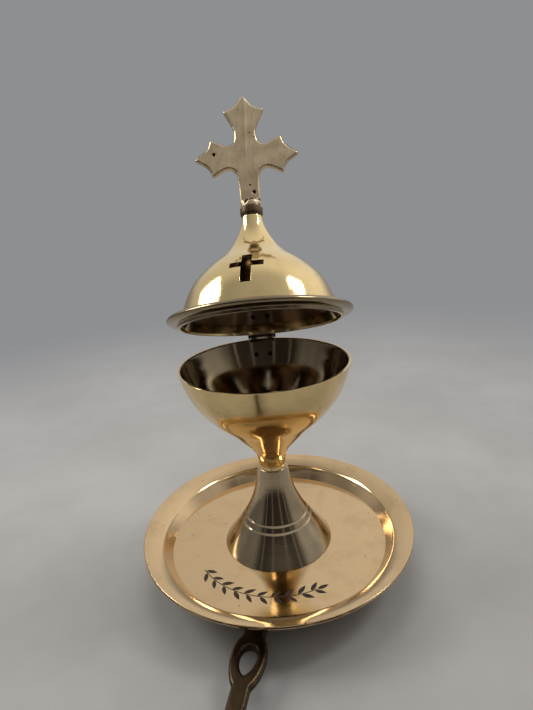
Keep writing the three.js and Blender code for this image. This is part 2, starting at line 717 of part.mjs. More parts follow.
function crossSolid() {
  const geometry = new THREE.ExtrudeGeometry(crossOutline(), {
    depth: crossThickness - 2 * crossBevel,
    bevelThickness: crossBevel,
    bevelSize: crossBevel,
    bevelOffset: -crossBevel,
    bevelSegments: 1,
    curveSegments: 5,
  });
  geometry.translate(0, 0, crossBevel - crossThickness / 2);
  geometry.rotateX(Math.PI / 2);
  geometry.translate(0, 0, crossCentreHeight);
  const tangLength = collarHeight + seatGap + lidNeckHeight - lidCeilingHeight + seatGap
    + nutWasherThickness + seatGap + nutHeight + tangEndRoom;
  const foot = turned([
    vec(0, 0),
    vec(crossFootRadius, 0),
    vec(crossFootRadius, crossFootHeight * 0.6),
    vec(crossFootRadius * 0.8, crossFootHeight),
    vec(0, crossFootHeight),
  ], stemFacets);
  return toSolid(geometry).add(foot).add(rod(tangRadius, -tangLength, 0.5, smallFacets));
}

function collarSolid() {
  const recessTop = collarHeight * collarRecessShare;
  return turnedRing([
    vec(collarWaistRadius, 0),
    vec(collarWaistRadius, recessTop),
    vec(collarRadius, recessTop + collarBandRise),
    vec(collarRadius, collarHeight - collarBandRise),
    vec(collarWaistRadius, collarHeight),
    vec(tangRadius + boreGap, collarHeight),
    vec(tangRadius + boreGap, 0),
  ], stemFacets);
}

function finialWasherSolid() {
  const top = lidCeilingHeight - seatGap;
  return tube(nutWasherRadius, tangRadius + boreGap, top - nutWasherThickness, top, stemFacets);
}

function finialNutSolid() {
  const top = lidCeilingHeight - 2 * seatGap - nutWasherThickness;
  return hexagon(nutAcrossFlats, top - nutHeight, top)
    .subtract(rod(tangRadius + boreGap, top - nutHeight - 1, top + 1, smallFacets));
}

// ---- the assembly -------------------------------------------------------------------------

const finishes = {
  polished: [0xc9a563, 0.16],
  cast: [0x8f7a48, 0.42],
  dark: [0x4a3b22, 0.5],
  steel: [0x8d8a80, 0.35],
};

function part(name, solid, finish) {
  const [color, roughness] = finishes[finish];
  const mesh = new THREE.Mesh(
    toGeometry(solid),
    new THREE.MeshStandardMaterial({ color, roughness, metalness: 1 }),
  );
  mesh.name = name;
  return mesh;
}

function hingeRivets(prefix, outline, height, wall, base) {
  return Object.entries(sides).map(([side, sign]) => part(
    `${prefix}_hinge_rivet_${side}`, hingeRivetSolid(outline, height, sign, wall, base), 'dark'));
}

const stand = new THREE.Group();
stand.add(
  part('plate', plateSolid(), 'polished'),
  part('handle', handleSolid(), 'cast'),
  part('handle_rivet_inner', handleRivetSolid(handleRivetInnerReach), 'cast'),
  part('handle_rivet_outer', handleRivetSolid(handleRivetOuterReach), 'cast'),
  part('tie_bolt', tieBoltSolid(), 'steel'),
  part('tie_bolt_washer', tieWasherSolid(), 'steel'),
  part('pedestal', pedestalSolid(), 'polished'),
  part('bowl', bowlSolid(), 'polished'),
  part('bowl_hinge_leaf', bowlLeafSolid(), 'dark'),
  part('hinge_pin', hingePinSolid(), 'dark'),
  ...hingeRivets('bowl', bowlOutside, bowlHeight - bowlRivetDrop, bowlWall, stemBottom),
);

const finial = new THREE.Group();
finial.position.z = lidNeckHeight + seatGap;
const collar = part('finial_collar', collarSolid(), 'dark');
const cross = part('cross_finial', crossSolid(), 'cast');
cross.position.z = collarHeight + seatGap;
finial.add(collar, cross);

const lid = new THREE.Group();
lid.position.set(0, -hingeReach, hingeDrop);
lid.add(
  part('lid_dome', lidSolid(), 'polished'),
  part('lid_hinge_leaf', lidLeafSolid(), 'dark'),
  ...hingeRivets('lid', domeOutside, lidRivetHeight, lidWall, 0),
  part('finial_washer', finialWasherSolid(), 'steel'),
  part('finial_nut', finialNutSolid(), 'steel'),
  finial,
);

const lidPivot = new THREE.Group();
lidPivot.position.set(0, hingeReach, rimHeight - hingeDrop);
lidPivot.rotation.x = -lidOpenAngle;
lidPivot.add(lid);

const censer = new THREE.Group();
censer.add(stand, lidPivot);

export default censer;
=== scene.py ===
import json
import math

import bmesh
import bpy
import numpy as np
from mathutils import Matrix, Vector


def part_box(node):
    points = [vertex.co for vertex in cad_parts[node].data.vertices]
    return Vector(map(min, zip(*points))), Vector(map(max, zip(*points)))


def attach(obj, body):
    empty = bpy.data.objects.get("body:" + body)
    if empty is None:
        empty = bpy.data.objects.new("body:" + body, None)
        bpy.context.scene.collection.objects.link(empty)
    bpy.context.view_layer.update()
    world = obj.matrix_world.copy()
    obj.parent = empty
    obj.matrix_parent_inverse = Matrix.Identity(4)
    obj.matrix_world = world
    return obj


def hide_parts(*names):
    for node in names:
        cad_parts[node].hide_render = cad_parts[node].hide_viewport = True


mm = 0.001
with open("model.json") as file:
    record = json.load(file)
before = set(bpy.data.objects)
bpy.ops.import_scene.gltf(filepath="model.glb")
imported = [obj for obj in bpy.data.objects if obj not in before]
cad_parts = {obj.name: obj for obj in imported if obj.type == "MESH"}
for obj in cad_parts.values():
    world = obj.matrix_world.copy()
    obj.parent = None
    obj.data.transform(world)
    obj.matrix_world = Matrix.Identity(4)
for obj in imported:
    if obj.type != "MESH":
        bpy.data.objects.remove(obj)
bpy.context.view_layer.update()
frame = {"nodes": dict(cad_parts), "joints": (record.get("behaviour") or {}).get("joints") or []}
scene = bpy.context.scene
print("packed parts loaded")


# ---- nodes: sockets that take plain arithmetic ----

class Sock:
    # one output socket of a node
    def __init__(self, sheet, socket):
        self.sheet = sheet
        self.socket = socket

    def also(self, name):
        # another output of the same node
        return Sock(self.sheet, self.socket.node.outputs[name])

    def __add__(self, other):
        return self.sheet.calc("ADD", self, other)

    def __radd__(self, other):
        return self.sheet.calc("ADD", other, self)

    def __sub__(self, other):
        return self.sheet.calc("SUBTRACT", self, other)

    def __rsub__(self, other):
        return self.sheet.calc("SUBTRACT", other, self)

    def __mul__(self, other):
        return self.sheet.calc("MULTIPLY", self, other)

    def __rmul__(self, other):
        return self.sheet.calc("MULTIPLY", other, self)

    def __abs__(self):
        return self.sheet.calc("ABSOLUTE", self)


class Sheet:
    # a node tree with one way to add any node
    def __init__(self, tree):
        self.tree = tree

    def node(self, kind, settings=None, values=None, out=0):
        made = self.tree.nodes.new(kind)
        for key, value in (settings or {}).items():
            if key == "stops":
                self.setStops(made.color_ramp, value)
            else:
                setattr(made, key, value)
        for key, value in (values or {}).items():
            if isinstance(value, Sock):
                self.tree.links.new(value.socket, made.inputs[key])
            else:
                made.inputs[key].default_value = value
        return Sock(self, made.outputs[out]) if made.outputs else made

    def setStops(self, ramp, stops):
        while len(ramp.elements) < len(stops):
            ramp.elements.new(0.5)
        for element, (place, colour) in zip(ramp.elements, stops):
            element.position = place
            element.color = (*colour, 1)

    def calc(self, operation, *terms, clamp=False):
        settings = {"operation": operation, "use_clamp": clamp}
        return self.node("ShaderNodeMath", settings, dict(enumerate(terms)))

    def clamped(self, value):
        return self.calc("ADD", value, 0.0, clamp=True)

    def step(self, value, low, high):
        # 0 below low, 1 above high, smooth between
        return self.node("ShaderNodeMapRange", {"interpolation_type": "SMOOTHSTEP"},
                         {"Value": value, "From Min": low, "From Max": high})

    def mix(self, factor, first, second):
        values = {0: factor}
        for index, colour in ((6, first), (7, second)):
            values[index] = colour if isinstance(colour, Sock) else (*colour, 1)
        return self.node("ShaderNodeMix", {"data_type": "RGBA"}, values, out=2)

    def vector(self, operation, *terms, **values):
        return self.node("ShaderNodeVectorMath", {"operation": operation},
                         {**dict(enumerate(terms)), **values})

    def join(self, x, y, z):
        return self.node("ShaderNodeCombineXYZ", None, {0: x, 1: y, 2: z})

    def noise(self, place, scale, detail=3.0, roughness=0.5):
        return self.node("ShaderNodeTexNoise", None, {
            "Vector": place, "Scale": scale, "Detail": detail, "Roughness": roughness})


# ---- meshes ----

def smoothLine(points, steps):
    # a spline through the points, drawn as the turned outlines are
    points = [Vector(point) for point in points]
    last = len(points) - 1
    line = []
    for k in range(steps + 1):
        t = k / steps * last
        i = min(int(t), last - 1)
        w = t - i
        before, start, end, after = (points[max(i - 1, 0)], points[i], points[i + 1],
                                     points[min(i + 2, last)])
        pull, push = (end - before) / 2, (after - start) / 2
        line.append((2 * start - 2 * end + pull + push) * w ** 3
                    + (3 * end - 3 * start - 2 * pull - push) * w ** 2 + pull * w + start)
    return line


def inset(line, wall):
    # the same line moved to its left
    moved = []
    for i, point in enumerate(line):
        along = (line[min(i + 1, len(line) - 1)] - line[max(i - 1, 0)]).normalized()
        moved.append(Vector((point.x - along.y * wall, point.y + along.x * wall)))
    return moved


def radiusAt(line, height):
    for a, b in zip(line, line[1:]):
        if (a.y - height) * (b.y - height) <= 0 and a.y != b.y:
            return a.x + (b.x - a.x) * (height - a.y) / (b.y - a.y)
    raise ValueError("the line doesn't reach that height")


def corner(before, point, after, radius, steps=3):
    # a rounded corner in an outline
    before, point, after = Vector(before), Vector(point), Vector(after)
    start = point + (before - point).normalized() * radius
    end = point + (after - point).normalized() * radius
    arc = []
    for k in range(steps + 1):
        t = k / steps
        arc.append(start * (1 - t) ** 2 + point * 2 * t * (1 - t) + end * t * t)
    return arc


def softened(points, radius):
    # an outline of (radius, height) points with every corner rounded a little
    line = [Vector(points[0])]
    for before, point, after in zip(points, points[1:], points[2:]):
        room = min((Vector(point) - Vector(before)).length, (Vector(after) - Vector(point)).length)
        line += corner(before, point, after, min(radius, room * 0.45))
    return line + [Vector(points[-1])]


def linked(name, data):
    made = bpy.data.objects.new(name, data)
    scene.collection.objects.link(made)
    return made


def applied(work):
    # the mesh that the object's modifiers make; the object itself goes
    bpy.context.view_layer.update()
    shaped = work.evaluated_get(bpy.context.evaluated_depsgraph_get())
    made = bpy.data.meshes.new_from_object(shaped)
    bpy.data.objects.remove(work)
    return made


def lifted(outline, height=0):
    return [(point.x, point.y + height) for point in outline]


def finishMesh(name, mesh, material, place=None, sharp=35):
    # merges doubles, turns the faces outwards, places the mesh and shades it
    bm = bmesh.new()
    bm.from_mesh(mesh)
    bmesh.ops.remove_doubles(bm, verts=bm.verts, dist=1e-7)
    bmesh.ops.dissolve_degenerate(bm, edges=bm.edges, dist=1e-7)
    bmesh.ops.recalc_face_normals(bm, faces=bm.faces)
    if place:
        bmesh.ops.transform(bm, matrix=place, verts=bm.verts)
    bm.to_mesh(mesh)
    bm.free()
    mesh.shade_smooth()
    mesh.set_sharp_from_angle(angle=math.radians(sharp))
    mesh.materials.clear()
    mesh.materials.append(material)
    return linked(name, mesh)


def lathe(outline, angles, shape=None):
    # a turned mesh with a UV map: turns across, millimetres along the outline
    if isinstance(angles, int):
        angles = [2 * math.pi * k / angles for k in range(angles + 1)]
    along = [0.0]
    for a, b in zip(outline, outline[1:]):
        along.append(along[-1] + math.dist(a, b))
    rows = len(outline)
    points, faces, uvs = [], [], []
    for angle in angles:
        for r, z in outline:
            x, y, h = r * math.sin(angle), -r * math.cos(angle), z
            if shape:
                x, y, h = shape(angle, r, z)
            points.append((x * mm, y * mm, h * mm))
    for i in range(len(angles) - 1):
        for j in range(rows - 1):
            a, b = i * rows + j, (i + 1) * rows + j
            faces.append((a, b, b + 1, a + 1))
            uvs += [(i, j), (i + 1, j), (i + 1, j + 1), (i, j + 1)]
    mesh = bpy.data.meshes.new("turned")
    mesh.from_pydata(points, [], faces)
    layer = mesh.uv_layers.new(name="turned")
    layer.data.foreach_set("uv", [n for i, j in uvs for n in (angles[i] / (2 * math.pi), along[j])])
    return mesh


def markInside(mesh, inside):
    # an attribute that is 1 on the points where inside(x, y, z), in mm, says so
    values = [float(inside(*(v.co / mm))) for v in mesh.vertices]
    mesh.attributes.new("inside", "FLOAT", "POINT").data.foreach_set("value", values)


def markWear(mesh, rounds=3, gain=1.0):
    # an attribute that is high on edges that stick out and low in hollows
    count = len(mesh.vertices)
    co = np.zeros(count * 3)
    mesh.vertices.foreach_get("co", co)
    co = co.reshape(-1, 3)
    normals = np.zeros(count * 3)
    mesh.vertices.foreach_get("normal", normals)
    normals = normals.reshape(-1, 3)
    edges = np.zeros(len(mesh.edges) * 2, dtype=np.int64)
    mesh.edges.foreach_get("vertices", edges)
    a, b = edges.reshape(-1, 2).T
    near = np.maximum(np.bincount(a, minlength=count) + np.bincount(b, minlength=count), 1)

    def spread(values):
        total = np.bincount(a, values[b], count) + np.bincount(b, values[a], count)
        return total / near

    length = np.linalg.norm(co[a] - co[b], axis=1).mean()
    middle = np.stack([spread(co[:, k]) for k in range(3)], axis=1)
    bulge = ((co - middle) * normals).sum(axis=1) / length
    for _ in range(rounds):
        bulge = (bulge + spread(bulge)) / 2
    values = np.clip(0.5 + bulge * gain, 0, 1)
    mesh.attributes.new("wear", "FLOAT", "POINT").data.foreach_set("value", values)


# ---- where things stand ----

hinge = frame["joints"][0]
hingePoint = Vector(hinge["pos_m"])
openAngle = -math.radians(hinge["range_deg"][0])
seatGap = 0.05  # between pieces that rest on each other
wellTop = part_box("pedestal")[0].z / mm - seatGap
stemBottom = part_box("bowl")[0].z / mm
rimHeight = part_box("bowl")[1].z / mm
hingeDrop = rimHeight - hingePoint.z / mm
hingeReach = hingePoint.y / mm

# the lid's pieces are made shut, with heights from the bowl's rim, then swung open
lidPlace = (Matrix.Translation(hingePoint) @ Matrix.Rotation(-openAngle, 4, "X")
            @ Matrix.Translation(Vector((0, -hingeReach, hingeDrop)) * mm))


# ---- brass ----

def newMaterial(name):
    material = bpy.data.materials.new(name)
    material.use_nodes = True
    material.node_tree.nodes.clear()
    return material, Sheet(material.node_tree)


def finishMaterial(sheet, colour, metallic, roughness, height, depth):
    bump = sheet.node("ShaderNodeBump", None, {
        "Strength": 1.0, "Distance": depth, "Height": height})
    surface = sheet.node("ShaderNodeBsdfPrincipled", None, {
        "Base Color": colour, "Metallic": metallic, "Roughness": roughness, "Normal": bump})
    sheet.node("ShaderNodeOutputMaterial", None, {"Surface": surface})


def brassPlace(sheet, place):
    # object coordinates in mm, from the piece's own axis
    point = sheet.node("ShaderNodeTexCoord", None, None, out="Object")
    if place:
        spot, turn, _ = place.decompose()
        point = sheet.node("ShaderNodeMapping", {"vector_type": "TEXTURE"}, {
            "Vector": point, "Location": spot, "Rotation": turn.to_euler()})
    return sheet.vector("SCALE", point, Scale=1000.0)


def turnedBrass(name, look, place=None):
    # polished brass from the lathe: faint rings, smudges, specks and fine scratches
    material, sheet = newMaterial(name)
    point = brassPlace(sheet, place)
    x = sheet.node("ShaderNodeSeparateXYZ", None, {0: point})
    y, z = x.also("Y"), x.also("Z")
    radius = sheet.calc("SQRT", x * x + y * y)
    turn = sheet.calc("ARCTAN2", x, y)
    ringPlace = sheet.join(radius, 0.0, z)
    rings = sheet.noise(ringPlace, look["ringScale"], 4, 0.65)
    fineRings = sheet.noise(ringPlace, look["ringScale"] * 4, 2, 0.5)
    smudge = sheet.noise(point, look["smudgeScale"], 4, 0.6)
    cloud = sheet.noise(point, look["smudgeScale"] * 0.31, 2, 0.5)
    scratchPlace = sheet.join(turn * 14, radius * 0.9, z * 0.9)
    scratch = sheet.noise(scratchPlace, 1.7, 5, 0.7)
    speckNoise = sheet.noise(point, look["speckScale"], 1, 0.4)
    speck = sheet.step(speckNoise, look["speckEdge"], look["speckEdge"] + 0.03)

    tarnish = sheet.step(smudge * 0.65 + cloud * 0.35, 0.46, 0.72)
    colour = sheet.mix(tarnish * look["smudge"], look["tone"], look["tarnish"])
    colour = sheet.mix(sheet.step(rings, 0.5, 0.8) * look["ringShade"], colour, look["tarnish"])
    rough = look["rough"] + tarnish * look["roughSmudge"] + (scratch - 0.5) * 0.05
    height = rings * 0.7 + fineRings * 0.3 + scratch * 0.25
    if look.get("inside"):
        dark = look["inside"]
        inner = sheet.node("ShaderNodeAttribute", {"attribute_name": "inside"}, None, out="Fac")
        streakPlace = sheet.join(turn * dark["streaks"], z * 0.02, 0.0)
        streak = sheet.noise(streakPlace, 1.0, 2, 0.45)
        soot = sheet.mix(sheet.step(streak, 0.25, 0.75), dark["soot"], dark["tone"])
        colour = sheet.mix(inner, colour, soot)
        rough = rough + inner * dark["rough"]
        height = height + inner * (streak * dark["ridge"])
    if look.get("edge"):
        # the brim, from the edge's 'from' radius outwards, darker and duller than the rest
        edge = look["edge"]
        brimBand = sheet.step(radius, edge["from"], edge["to"])
        colour = sheet.mix(brimBand * (0.75 + smudge * 0.3), colour, edge["tone"])
        rough = rough + brimBand * edge["rough"]
    colour = sheet.mix(speck, colour, look["speck"])
    rough = sheet.clamped(rough + speck * 0.35)
    finishMaterial(sheet, colour, 1.0, rough, height, look["depth"] * mm)
    return material


pitColour = (0.012, 0.009, 0.006)


def castBrass(name, look, place=None):
    # sand-cast and hand-filed brass: grain, pits, worn high spots
    material, sheet = newMaterial(name)
    point = brassPlace(sheet, place)
    wear = sheet.node("ShaderNodeAttribute", {"attribute_name": "wear"}, None, out="Fac")
    grain = sheet.noise(point, look["grainScale"], 5, 0.65)
    patch = sheet.noise(point, look["patchScale"], 3, 0.55)
    filed = sheet.noise(sheet.vector("MULTIPLY", point, look["filing"]), 1.0, 3, 0.6)
    pits = sheet.noise(point, look["pitScale"], 2, 0.5)
    pit = sheet.step(pits, look["pitEdge"], look["pitEdge"] + 0.05)
    deep = sheet.node("ShaderNodeAttribute", {"attribute_name": "pit"}, None, out="Fac")
    worn = sheet.step(wear + (patch - 0.5) * 0.35, 0.56, 0.8)
    hollow = 1 - sheet.step(wear, 0.25, 0.5)
    colour = sheet.mix(sheet.step(patch, 0.35, 0.68), look["tone"], look["second"])
    colour = sheet.mix(sheet.step(filed, 0.45, 0.75) * look["fileShade"], colour, look["dark"])
    colour = sheet.mix(worn, colour, look["bright"])
    colour = sheet.mix(sheet.clamped(pit + hollow * 0.7), colour, look["dark"])
    colour = sheet.mix(sheet.step(deep, 0.12, 0.45), colour, pitColour)
    rough = sheet.clamped(look["rough"] + (grain - 0.5) * 0.25 + pit * 0.3 - worn * look["polish"])
    height = grain * 0.45 + filed * 0.35 - pit * 1.2
    finishMaterial(sheet, colour, look["metallic"], rough, height, look["depth"] * mm)
    return material


# ---- copies on a ring, in Geometry Nodes ----

def ringTree():
    # copies of one small mesh along an arc about Z, each tilted, turned and slightly varied
    tree = bpy.data.node_groups.new("ringOfCopies", "GeometryNodeTree")
    face = tree.interface
    face.new_socket("Copy", in_out="INPUT", socket_type="NodeSocketGeometry")
    for label, kind in (("Count", "Int"), ("Seed", "Int"), ("First angle", "Float"),
                        ("Step angle", "Float"), ("Radius", "Float"), ("Height", "Float"),
                        ("Tilt", "Float"), ("Turn", "Float"), ("Variation", "Float"),
                        ("Finish", "Material")):
        face.new_socket(label, in_out="INPUT", socket_type=f"NodeSocket{kind}")
    face.new_socket("Ring", in_out="OUTPUT", socket_type="NodeSocketGeometry")
    sheet = Sheet(tree)
    given = sheet.node("NodeGroupInput")
    line = sheet.node("GeometryNodeMeshLine", None, {"Count": given.also("Count")})
    index = sheet.node("GeometryNodeInputIndex")
    angle = given.also("First angle") + index * given.also("Step angle")
    sway = sheet.node("FunctionNodeRandomValue", {"data_type": "FLOAT"}, {
        2: -1.0, 3: 1.0, "ID": index, "Seed": given.also("Seed")}, out=1)
    size = 1 + sway * given.also("Variation")
    spot = sheet.join(given.also("Radius") * sheet.calc("SINE", angle),
                      given.also("Radius") * sheet.calc("COSINE", angle) * -1,
                      given.also("Height"))
    points = sheet.node("GeometryNodeSetPosition", None, {"Geometry": line, "Position": spot})
    own = sheet.join(given.also("Tilt"), 0.0, given.also("Turn") + sway * given.also("Variation"))
    ring = sheet.join(0.0, 0.0, angle)
    turn = sheet.node("FunctionNodeRotateEuler", {"rotation_type": "EULER", "space": "OBJECT"},
                      {"Rotation": own, "Rotate By": ring})
    copies = sheet.node("GeometryNodeInstanceOnPoints", None, {
        "Points": points, "Instance": given, "Rotation": turn,
        "Scale": sheet.join(size, size, size)})
    real = sheet.node("GeometryNodeRealizeInstances", None, {"Geometry": copies})
    done = sheet.node("GeometryNodeSetMaterial", None, {
        "Geometry": real, "Material": given.also("Finish")})
    sheet.node("NodeGroupOutput", None, {"Ring": done})
    return tree


ringOfCopies = ringTree()


def ring(name, mesh, material, **sizes):
    # runs the tree on one mesh and keeps the result as a plain mesh
    source = linked(name + "Source", mesh)
    modifier = source.modifiers.new("ring", "NODES")
    modifier.node_group = ringOfCopies
    wanted = {"Seed": 3, "Variation": 0.0, "Tilt": 0.0, "Turn": 0.0, "Finish": material, **sizes}
    for item in ringOfCopies.interface.items_tree:
        if item.in_out == "INPUT" and item.name in wanted:
            modifier[item.identifier] = wanted[item.name]
    return applied(source)


def joined(*meshes):
    bm = bmesh.new()
    for mesh in meshes:
        bm.from_mesh(mesh)
    whole = bpy.data.meshes.new("joined")
    bm.to_mesh(whole)
    bm.free()
    return whole


# ---- saucer ----

saucer = {"radius": 65, "rimWidth": 12.9, "thickness": 1.8, "rise": 9.2, "lip": 1.2,
          "footOuter": 34, "footWidth": 3.5, "draft": 0.6, "notchHalf": 5.1, "handleAngle": 13,
          "columns": 224}
saucerLook = {"tone": (0.66, 0.485, 0.28), "tarnish": (0.46, 0.32, 0.165), "speck": (0.07, 0.04, 0.02),
              "ringScale": 1.9, "smudgeScale": 0.09, "speckScale": 0.75, "speckEdge": 0.77,
              "smudge": 0.45, "ringShade": 0.10, "rough": 0.075, "roughSmudge": 0.07, "depth": 0.012}


def makeSaucer():
    s = saucer
    well = s["radius"] - s["rimWidth"]
    lipStart = well + s["rimWidth"] * 0.35
    rim = smoothLine([(well, 0), (well + s["rimWidth"] * 0.22, s["rise"] * 0.43),
                      (lipStart, s["rise"] * 0.64), ((lipStart + s["radius"]) / 2, s["rise"] * 0.88),
                      (s["radius"] - s["lip"] / 3, s["rise"])], 36)
    under = inset(rim, -s["lip"])[2:][::-1]
    footInner = s["footOuter"] - s["footWidth"]
    low = -s["thickness"]
    top = [Vector((k * well / 14, 0)) for k in range(14)]
    lipEdge = Vector((s["radius"], s["rise"] - s["lip"] / 2))
    foot = softened([(s["footOuter"], low), (s["footOuter"] - s["draft"], -wellTop),
                     (footInner + s["draft"], -wellTop), (footInner, low), (0, low)], 0.3)
    outline = (top + rim[:-1] + corner(rim[-2], rim[-1], lipEdge, 0.2)
               + [lipEdge] + under + [Vector((well - s["thickness"] / 3, low))] + foot)
    toHandle = -math.radians(s["handleAngle"])
    gap = math.asin(s["notchHalf"] / (s["footOuter"] - 2))
    angles = sorted([2 * math.pi * k / s["columns"] + toHandle - math.pi
                     for k in range(s["columns"] + 1)]
                    + [toHandle + side * (gap + nudge) for side in (-1, 1) for nudge in (0, 0.0006)])

    def shape(angle, r, z):
        if abs(angle - toHandle) <= gap + 1e-6 and z < wellTop + low:
            z = wellTop + low
        return r * math.sin(angle), -r * math.cos(angle), z

    mesh = lathe(lifted(outline, wellTop), angles, shape)
    piece = finishMesh("saucer", mesh, turnedBrass("saucerBrass", saucerLook))
    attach(piece, "stand")
    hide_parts("plate")


# a leafy sprig engraved in the well, filled dark
sprig = {"radius": 40.6, "from": -60, "to": 24, "leaf": (5.3, 1.9), "pairs": 10, "stem": 0.42,
         "splay": 38, "proud": 0.02, "reach": 1.75}
sprigLook = {"tone": (0.055, 0.028, 0.014), "second": (0.11, 0.06, 0.03), "dark": (0.02, 0.012, 0.008),
             "bright": (0.12, 0.07, 0.035), "grainScale": 3.0, "patchScale": 0.5, "pitScale": 2.0,
             "pitEdge": 0.64, "filing": (1, 1, 1), "fileShade": 0.3, "metallic": 0.35,
             "rough": 0.5, "polish": 0.1, "depth": 0.03}


def leafMesh(length, width, proud):
    # a pointed leaf lying on XY with its stalk at the origin and its tip along +X
    bm = bmesh.new()
    edge = []
    steps = 12
    for side in (1, -1):
        for k in range(steps + (side > 0)):
            t = k / steps if side > 0 else 1 - k / steps
            half = width / 2 * math.sin(math.pi * t ** 0.82) ** 0.9
            edge.append(bm.verts.new((t * length * mm, side * half * mm, 0)))
    face = bm.faces.new(edge)
    raised = bmesh.ops.extrude_face_region(bm, geom=[face])
    bmesh.ops.translate(bm, vec=(0, 0, proud * mm),
                        verts=[v for v in raised["geom"] if isinstance(v, bmesh.types.BMVert)])
    mesh = bpy.data.meshes.new("leaf")
    bm.to_mesh(mesh)
    bm.free()
    return mesh


def makeSprig():
    s = sprig
    material = castBrass("engravingFill", sprigLook)
    first, last = math.radians(s["from"]), math.radians(s["to"])
    step = (last - first) / s["pairs"]
    parts = []
    for side in (1, -1):
        sizes = {"Count": s["pairs"], "First angle": first + step * (0.45 if side > 0 else 0.2),
                 "Step angle": step, "Radius": (s["radius"] + side * 0.35) * mm,
                 "Height": wellTop * mm, "Turn": -side * math.radians(s["splay"]),
                 "Variation": 0.08, "Seed": 5 + side}
        parts.append(ring("leaves", leafMesh(*s["leaf"], s["proud"]), material, **sizes))
    tip = {"Count": 1, "First angle": last - step * 0.3, "Step angle": 0.0,
           "Radius": s["radius"] * mm, "Height": wellTop * mm}
    parts.append(ring("tipLeaf", leafMesh(*s["leaf"], s["proud"]), material, **tip))
    stem = []
    for r, z in ((-1, 0), (-1, 1), (1, 1), (1, 0), (-1, 0)):
        stem.append((s["radius"] + r * s["stem"] / 2, wellTop + z * s["proud"]))
    turns = [first + (last - step * 0.3 - first) * k / 60 for k in range(61)]
    parts.append(lathe(stem, turns))
    piece = finishMesh("wellSprig", joined(*parts), material)
    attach(piece, "stand")


makeSaucer()
makeSprig()
print("saucer and its engraving made")


# ---- pedestal ----

pedestal = {"base": 26.1, "top": 6.95, "height": 39.7,
            "profile": ((1, 0), (0.755, 0.156), (0.525, 0.312), (0.332, 0.469), (0.185, 0.625),
                        (0.081, 0.793), (0, 1)),
            "wall": 1.5, "footWall": 2.4, "crown": 5, "bore": 3.1,
            "grooves": (12.9, 15.7), "grooveWidth": 0.8, "grooveDepth": 0.35, "columns": 160}
pedestalLook = {"tone": (0.48, 0.385, 0.255), "tarnish": (0.27, 0.21, 0.135), "speck": (0.08, 0.05, 0.03),
                "ringScale": 1.6, "smudgeScale": 0.10, "speckScale": 0.8, "speckEdge": 0.76,
                "smudge": 0.5, "ringShade": 0.15, "rough": 0.11, "roughSmudge": 0.10, "depth": 0.014}


def makePedestal():
    s = pedestal
    height = s["height"]
    side = smoothLine([(s["top"] + (s["base"] - s["top"]) * out, height * up)
                       for out, up in s["profile"]], 120)
    outer = []
    for point in side:
        # each groove is a small V with its steeper side uppermost
        for middle in s["grooves"]:
            off = (point.y - middle) / (s["grooveWidth"] / 2)
            if abs(off) < 1:
                point = point - Vector((s["grooveDepth"] * (1 - abs(off)) ** 0.7, 0))
        outer.append(point)
    crown = height - s["crown"]
    inner = [p for p in inset(side, s["wall"]) if 0.5 < p.y < crown - 0.5][::-4]
    lip = Vector((s["base"] - s["footWall"], 0))
    outline = ([lip] + corner(lip, outer[0], outer[1], 0.12)
               + outer[1:-1] + corner(outer[-2], outer[-1], (s["bore"], height), 0.15)
               + [Vector((s["bore"], height)), Vector((s["bore"], crown))] + inner + [lip])
    mesh = lathe(lifted(outline, wellTop + seatGap), s["columns"])
    piece = finishMesh("pedestalCone", mesh, turnedBrass("pedestalBrass", pedestalLook))
    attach(piece, "stand")
    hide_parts("pedestal")


makePedestal()
print("pedestal made")


# ---- bowl ----

bowl = {"foot": 6.5, "waist": 6.4, "waistHeight": 2.4, "flare": 0.5, "flareShare": 0.115,
        "profile": ((0.237, 0.202), (0.365, 0.308), (0.516, 0.423), (0.706, 0.558), (0.859, 0.712),
                    (0.948, 0.865), (1, 1)), "rim": 38.4, "height": 52, "wall": 1.25, "floor": 15.4,
        "notchHalf": 6.3, "notchDepth": 1.0, "bore": 3.1, "boreTop": 10, "columns": 220}
bowlLook = {"tone": (0.78, 0.59, 0.30), "tarnish": (0.50, 0.35, 0.15), "speck": (0.10, 0.06, 0.03),
            "ringScale": 1.3, "smudgeScale": 0.12, "speckScale": 0.9, "speckEdge": 0.76,
            "smudge": 0.5, "ringShade": 0.14, "rough": 0.10, "roughSmudge": 0.09, "depth": 0.016,
            "inside": {"soot": (0.24, 0.185, 0.115), "tone": (0.40, 0.32, 0.205), "rough": -0.02,
                       "streaks": 3.0, "ridge": 0.4}}
bowlSide = smoothLine([(bowl["foot"], 0), (bowl["waist"], bowl["waistHeight"]),
                       (bowl["waist"] + bowl["flare"], bowl["height"] * bowl["flareShare"])]
                      + [(bowl["rim"] * out, bowl["height"] * up) for out, up in bowl["profile"]], 90)


